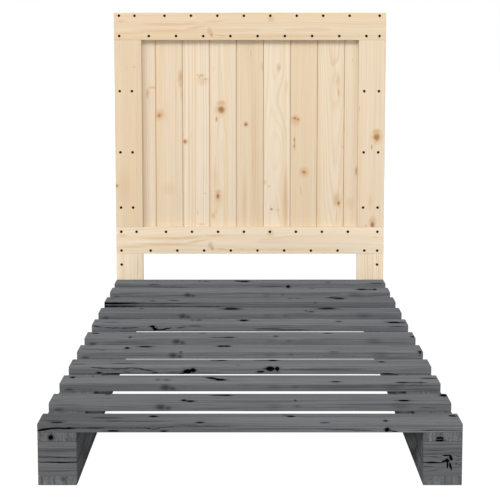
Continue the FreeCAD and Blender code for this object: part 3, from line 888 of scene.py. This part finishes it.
def board_tree():
    """Sweeps a section along the grain, bevels the sawn ends and lets the board wander a little."""
    inputs = {
        "Section": "Object",
        "Length": "Float",
        "Rows": "Int",
        "End Arris": "Float",
        "Wave": "Float",
        "Seed": "Float",
        "Material": "Material",
    }
    tree, nodes, given = new_tree("Sawn board", inputs)
    half = given["Length"] * 0.5
    start = nodes.xyz(Z=half * -1.0)
    stop = nodes.xyz(Z=half)
    line = nodes.add("GeometryNodeCurvePrimitiveLine", {"Start": start, "End": stop})
    rows = nodes.add("GeometryNodeResampleCurve", {"Curve": line, "Count": given["Rows"]})
    index = nodes.add("GeometryNodeInputIndex")
    inside = half - given["End Arris"]
    step = inside * 2.0 / (given["Rows"] - 3.0)
    level = (index - 1.0) * step - inside
    level = level.most(half * -1.0).least(half)
    spot = nodes.xyz(Z=level)
    rows = nodes.add("GeometryNodeSetPosition", {"Geometry": rows, "Position": spot})
    section = nodes.add("GeometryNodeObjectInfo", {"Object": given["Section"]}, "Geometry")
    sweep_sockets = {"Curve": rows, "Profile Curve": section, "Fill Caps": True}
    shape = nodes.add("GeometryNodeCurveToMesh", sweep_sockets)
    x, y, z = nodes.split(nodes.add("GeometryNodeInputPosition"))
    at_end = abs(z).smooth(inside, half) * given["End Arris"]
    inset = nodes.xyz(X=x.sign() * at_end * -1.0, Y=y.sign() * at_end * -1.0)
    shape = nodes.add("GeometryNodeSetPosition", {"Geometry": shape, "Offset": inset})
    drift = nodes.xyz(X=given["Seed"], Y=given["Seed"], Z=z * WANDER_WAVES)
    wander = nodes.add("ShaderNodeTexNoise", {"Vector": drift, "Scale": 1.0, "Detail": 1.0}, "Color")
    wander_x, wander_y, _ = nodes.split(wander)
    wave = given["Wave"] * 2.0
    shift = nodes.xyz(X=(wander_x - 0.5) * wave, Y=(wander_y - 0.5) * wave)
    shape = nodes.add("GeometryNodeSetPosition", {"Geometry": shape, "Offset": shift})
    end_tree(nodes, shape, given["Material"])
    return tree


def screw_tree():
    """Puts a screw on each point, each turned its own way."""
    inputs = {"Geometry": "Geometry", "Screw": "Object", "Seed": "Int", "Material": "Material"}
    tree, nodes, given = new_tree("Screws on points", inputs)
    screw = nodes.add("GeometryNodeObjectInfo", {"Object": given["Screw"]}, "Geometry")
    turn_sockets = {"Min": (0.0, 0.0, 0.0), "Max": (0.0, math.tau, 0.0), "Seed": given["Seed"]}
    turn = nodes.add("FunctionNodeRandomValue", turn_sockets, data_type="FLOAT_VECTOR")
    sockets = {"Points": given["Geometry"], "Instance": screw, "Rotation": turn}
    end_tree(nodes, nodes.add("GeometryNodeInstanceOnPoints", sockets), given["Material"])
    return tree


def grow(name, mesh, tree, values):
    """Runs the tree on a new object and leaves its result as a plain mesh."""
    piece = new_object(name, mesh)
    modifier = piece.modifiers.new(tree.name, "NODES")
    modifier.node_group = tree
    for item in tree.interface.items_tree:
        if item.in_out == "INPUT" and item.name in values:
            modifier[item.identifier] = values[item.name]
    depsgraph = bpy.context.evaluated_depsgraph_get()
    result = bpy.data.meshes.new_from_object(piece.evaluated_get(depsgraph), depsgraph=depsgraph)
    if not result.polygons:
        raise RuntimeError(f"{name} came out empty")
    piece.modifiers.remove(modifier)
    piece.data = result
    result.name = name
    return piece


def soften(mesh, degrees):
    """Smooth shading with sharp edges past the given angle."""
    mesh.polygons.foreach_set("use_smooth", [True] * len(mesh.polygons))
    mesh.set_sharp_from_angle(angle=math.radians(degrees))


def section_curve(points):
    """Closed outline of a board's cross section, as a curve that the board tree sweeps."""
    data = bpy.data.curves.new("section", "CURVE")
    data.dimensions = "3D"
    spline = data.splines.new("POLY")
    spline.points.add(len(points) - 1)
    for point, (x, y) in zip(spline.points, points):
        point.co = (x, y, 0, 1)
    spline.use_cyclic_u = True
    return new_object("section", data)


def rounded(points):
    """Outline through the corners, each given with the radius of its rounding."""
    made = []
    corners = [Vector(point[:2]) for point in points]
    for index, corner in enumerate(corners):
        radius = points[index][2]
        if radius <= 0:
            made.append(tuple(corner))
            continue
        before = corners[index - 1] - corner
        after = corners[(index + 1) % len(corners)] - corner
        limit = min(before.length, after.length) * CORNER_LIMIT
        back = min(radius / math.tan(before.angle(after) / 2), limit)
        first, last = corner + before.normalized() * back, corner + after.normalized() * back
        for step in range(CORNER_STEPS + 1):
            t = step / CORNER_STEPS
            made.append(tuple(first * (1 - t) ** 2 + corner * 2 * t * (1 - t) + last * t**2))
    return made


def panel_section(cover, thickness, tongue_side, groove_side, sizes):
    """Section of a panel board, front at the low side: vees on the front edges, a tongue and a groove."""
    x, y = cover / 2, thickness / 2
    tongue, groove = sizes.tongue_thick / 2, sizes.tongue_thick / 2 + sizes.tongue_clear
    vee_arris, tongue_arris, back_arris = 0.6 * MM, 0.5 * MM, 0.4 * MM

    def jointed(half, reach, arris):
        """An edge from front to back, as distances into the board; a tongue's reach is negative."""
        return [
            (sizes.vee, -y, vee_arris),
            (sizes.slit / 2, sizes.vee - y, 0),
            (sizes.slit / 2, -half, 0),
            (reach, -half, arris),
            (reach, half, arris),
            (0, half, 0),
            (0, y, back_arris),
        ]

    right = left = [(0, -y, sizes.frame_arris), (0, y, sizes.frame_arris)]
    if tongue_side:
        right = jointed(tongue, -sizes.tongue, tongue_arris)
    if groove_side:
        left = jointed(groove, sizes.tongue + sizes.tongue_clear, 0)
    points = [(x - inward, level, arris) for inward, level, arris in right]
    return rounded(points + [(inward - x, level, arris) for inward, level, arris in reversed(left)])


def make_board(board, outline, stained, wave):
    """A swept board in the place of its CAD node."""
    sizes = bpy.context.scene.bed_boards
    tree = bpy.data.node_groups.get("Sawn board") or board_tree()
    run = board.own_size[ALONG]
    section = section_curve(outline)
    material = pine(board, stained)
    values = {
        "Section": section,
        "Length": run,
        "Rows": max(LEAST_ROWS, round(run / ROW_STEP)),
        "End Arris": sizes.end_arris,
        "Wave": wave,
        "Seed": board.draws.uniform(0, SEED_REACH),
        "Material": material,
    }
    name = board.node + "_wood"
    piece = grow(name, bpy.data.meshes.new(name), tree, values)
    bpy.data.objects.remove(section)
    piece.data.transform(Matrix.Translation(board.centre) @ board.turn.to_4x4())
    soften(piece.data, BOARD_CREASE)
    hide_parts(board.node)
    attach(piece, "root")


def plain_board(node, turn, stained, worn_front=False):
    """A board of rectangular section; with a round shaded front it is rounder at its upper front edge than
    elsewhere, and only its front face takes painted shade.
    """
    sizes = bpy.context.scene.bed_boards
    board = Board(node, turn)
    width, thickness, _ = board.own_size
    arris, wave = (sizes.base_arris, sizes.base_wave) if stained else (sizes.frame_arris, sizes.frame_wave)
    board.worn_front = worn_front
    board.centre.y -= LAID_NEARER.get(node, 0.0)
    other = sizes.crisp_arris if worn_front else arris
    x, y = width / 2, thickness / 2
    outline = rounded([(x, -y, other), (x, y, other), (-x, y, arris), (-x, -y, other)])
    make_board(board, outline, stained, wave)


class BED_OT_slats(bpy.types.Operator):
    """Make the deck slats"""

    bl_idname = "bed.slats"
    bl_label = "Deck slats"

    def execute(self, context):
        for index in range(SLAT_COUNT):
            plain_board(f"slat_{index + 1:02d}", GRAIN_ACROSS_BED, stained=True, worn_front=True)
        return {"FINISHED"}


class BED_OT_skids(bpy.types.Operator):
    """Make the two skids: stringers, blocks and runners"""

    bl_idname = "bed.skids"
    bl_label = "Skids"

    def execute(self, context):
        for side in SIDES:
            plain_board(f"{side}_stringer", GRAIN_ALONG_BED, stained=True)
            plain_board(f"{side}_runner", GRAIN_ALONG_BED, stained=True)
            for index in range(BLOCK_COUNT):
                plain_board(f"{side}_block_{index + 1}", GRAIN_ACROSS_BED, stained=True)
        return {"FINISHED"}


class BED_OT_headboard_frame(bpy.types.Operator):
    """Make the headboard's rails, stiles and legs, and finish its back posts"""

    bl_idname = "bed.headboard_frame"
    bl_label = "Headboard frame"

    def execute(self, context):
        for rail in RAILS:
            plain_board(rail, GRAIN_ALONG_RAIL, stained=False)
        for side in SIDES:
            plain_board(f"{side}_stile", GRAIN_UPRIGHT, stained=False)
            plain_board(f"{side}_leg", GRAIN_UPRIGHT, stained=False)
            post = f"{side}_back_post"
            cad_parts[post].data.materials[0] = pine(Board(post, GRAIN_UPRIGHT), stained=False)
        return {"FINISHED"}


class BED_OT_panel(bpy.types.Operator):
    """Make the tongue-and-groove boards of the headboard's panel"""

    bl_idname = "bed.panel"
    bl_label = "Panel boards"

    def execute(self, context):
        sizes = context.scene.bed_boards
        for index in range(BOARD_COUNT):
            board = Board(f"panel_board_{index + 1}", GRAIN_UPRIGHT)
            tongue_side, groove_side = index < BOARD_COUNT - 1, index > 0
            cover = board.size.x - (sizes.tongue if tongue_side else 0)
            board.centre.x -= (board.size.x - cover) / 2
            # The vees of the panel take painted shade.
            board.face_width, board.vee_share = cover, VEE_SHARE
            outline = panel_section(cover, board.size.y, tongue_side, groove_side, sizes)
            make_board(board, outline, stained=False, wave=sizes.frame_wave)
        return {"FINISHED"}


def screw_places(node):
    """Middle of each screw's head, from the flat faces of the CAD screws that look forward."""
    flat, head_span = 0.1 * MM, 12 * MM
    points = [vertex.co.copy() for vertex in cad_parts[node].data.vertices]
    face = min(point.y for point in points)
    clusters = []
    for point in points:
        if point.y > face + flat:
            continue
        for cluster in clusters:
            if (cluster[0] - point).length < head_span:
                cluster.append(point)
                break
        else:
            clusters.append([point])
    places = []
    for cluster in clusters:
        unique = {tuple(round(value, 5) for value in point) for point in cluster}
        places.append(sum((Vector(point) for point in unique), Vector()) / len(unique))
    return places


def screw_shape(sizes):
    """A countersunk head with a cross recess, facing the foot of the bed."""
    around, core, sunk = 24, 2.0 * MM, 3.4 * MM
    head, rise = sizes.head_radius, sizes.head_rise

    def circle(radius):
        return lambda angle: radius

    def cross(scale):
        return lambda angle: scale * sizes.recess_reach * (0.34 + 0.66 * abs(math.cos(angle * 2)) ** 3)

    # Outline and height of each ring, from the core to the bottom of the recess.
    levels = (
        (circle(core), -sunk),
        (circle(head), -0.4 * MM),
        (circle(head), 0.1 * rise),
        (circle(head * 0.90), 0.65 * rise),
        (circle(head * 0.66), rise),
        (cross(1.0), rise),
        (cross(0.72), rise - sizes.recess_depth),
    )
    mesh = bmesh.new()
    angles = [math.tau * step / around for step in range(around)]
    rings = [
        [mesh.verts.new((outline(a) * math.cos(a), -height, outline(a) * math.sin(a))) for a in angles]
        for outline, height in levels
    ]
    for low, high in zip(rings, rings[1:]):
        for step in range(around):
            after = (step + 1) % around
            mesh.faces.new((low[step], low[after], high[after], high[step]))
    mesh.faces.new(rings[0])
    mesh.faces.new(rings[-1])
    bmesh.ops.recalc_face_normals(mesh, faces=mesh.faces)
    data = bpy.data.meshes.new("screw shape")
    mesh.to_mesh(data)
    mesh.free()
    return new_object("screw shape", data)


class BED_OT_black_screws(bpy.types.Operator):
    """Make the black screws of the headboard"""

    bl_idname = "bed.black_screws"
    bl_label = "Black screws"

    def execute(self, context):
        sizes = context.scene.bed_screws
        material = black_phosphate()
        shape = screw_shape(sizes)
        tree = screw_tree()
        for node in SCREW_NODES:
            name = node + "_black"
            points = bpy.data.meshes.new(name)
            points.from_pydata(screw_places(node), [], [])
            values = {"Screw": shape, "Seed": sizes.seed, "Material": material}
            piece = grow(name, points, tree, values)
            soften(piece.data, SCREW_CREASE)
            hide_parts(node)
            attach(piece, "root")
        bpy.data.objects.remove(shape)
        return {"FINISHED"}


class BED_OT_zinc_fasteners(bpy.types.Operator):
    """Finish the screws under the bed and the coach screws behind the headboard"""

    bl_idname = "bed.zinc_fasteners"
    bl_label = "Zinc fasteners"

    def execute(self, context):
        material = zinc_plate()
        for node in ZINC_NODES:
            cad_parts[node].data.materials[0] = material
        return {"FINISHED"}


def far_light(name, strength):
    """A soft lamp far away, in its listed direction."""
    sideways, height, spread = (math.radians(angle) for angle in LAMPS[name])
    data = bpy.data.lights.new(name, "SUN")
    data.energy = strength
    data.angle = spread
    made = new_object(name, data)
    level = math.cos(height)
    place = Vector((math.sin(sideways) * level, -math.cos(sideways) * level, math.sin(height)))
    made.location = place * LAMP_DISTANCE
    made.rotation_euler = (-place).to_track_quat("-Z", "Y").to_euler()


class BED_OT_studio(bpy.types.Operator):
    """Make the pale floor, the soft lights and the camera"""

    bl_idname = "bed.studio"
    bl_label = "Studio"

    def execute(self, context):
        scene = context.scene
        studio = scene.bed_studio
        scene.view_settings.view_transform = "Standard"
        self.floor(studio)
        self.sky(scene, studio)
        for name in LAMPS:
            far_light(name, getattr(studio, name))
        self.camera(scene, studio)
        return {"FINISHED"}

    @staticmethod
    def floor(studio):
        far = FLOOR_HALF
        corners = [(-far, -far, 0), (far, -far, 0), (far, far, 0), (-far, far, 0)]
        data = bpy.data.meshes.new("floor")
        data.from_pydata(corners, [], [(0, 1, 2, 3)])
        made = new_object("floor", data)
        material, nodes = new_material("floor")
        matt = nodes.add("ShaderNodeBsdfDiffuse", {"Color": rgba(studio.floor)})
        glow = nodes.add("ShaderNodeEmission", {"Color": (1, 1, 1, 1), "Strength": FLOOR_LIGHT})
        both = nodes.by_camera(matt, glow, studio.floor_glow)
        nodes.add("ShaderNodeOutputMaterial", {"Surface": both})
        data.materials.append(material)

    @staticmethod
    def sky(scene, studio):
        world = bpy.data.worlds.new("studio")
        world.use_nodes = True
        world.node_tree.nodes.clear()
        nodes = Nodes(world.node_tree)
        light = nodes.add("ShaderNodeBackground", {"Color": (1, 1, 1, 1), "Strength": studio.sky})
        white = nodes.add("ShaderNodeBackground", {"Color": (1, 1, 1, 1), "Strength": 1.0})
        nodes.add("ShaderNodeOutputWorld", {"Surface": nodes.by_camera(light, white)})
        scene.world = world

    @staticmethod
    def camera(scene, studio):
        data = bpy.data.cameras.new("camera")
        data.sensor_width = CAMERA_SENSOR
        data.lens = studio.lens
        data.shift_y = CAMERA_SHIFT
        data.clip_end = CAMERA_REACH
        made = new_object("camera", data)
        made.location = CAMERA_PLACE
        made.rotation_euler = (CAMERA_TILT, 0, 0)
        scene.camera = made


class BED_PT_sidebar(bpy.types.Panel):
    """Lists what the bed is made of"""

    bl_idname = "BED_PT_sidebar"
    bl_label = "Slatted bed"
    bl_space_type = "VIEW_3D"
    bl_region_type = "UI"
    bl_category = "Bed"

    def draw(self, context):
        for operator in OPERATORS:
            self.layout.operator(operator.bl_idname)
        for group in GROUPS:
            held = getattr(context.scene, group)
            box = self.layout.box()
            for name in held.__annotations__:
                box.prop(held, name)


OPERATORS = (
    BED_OT_slats,
    BED_OT_skids,
    BED_OT_headboard_frame,
    BED_OT_panel,
    BED_OT_black_screws,
    BED_OT_zinc_fasteners,
    BED_OT_studio,
)
GROUPS = {
    "bed_boards": BedBoardSizes,
    "bed_wood": BedWoodColours,
    "bed_screws": BedScrewSizes,
    "bed_studio": BedStudio,
}


def register():
    for name, group in GROUPS.items():
        bpy.utils.register_class(group)
        setattr(bpy.types.Scene, name, PointerProperty(type=group))
    for operator in OPERATORS:
        bpy.utils.register_class(operator)
    bpy.utils.register_class(BED_PT_sidebar)


def unregister():
    bpy.utils.unregister_class(BED_PT_sidebar)
    for operator in reversed(OPERATORS):
        bpy.utils.unregister_class(operator)
    for name, group in GROUPS.items():
        delattr(bpy.types.Scene, name)
        bpy.utils.unregister_class(group)


def main():
    register()
    bpy.ops.bed.slats()
    bpy.ops.bed.skids()
    bpy.ops.bed.headboard_frame()
    bpy.ops.bed.panel()
    bpy.ops.bed.black_screws()
    bpy.ops.bed.zinc_fasteners()
    bpy.ops.bed.studio()


if __name__ == "__main__":
    main()
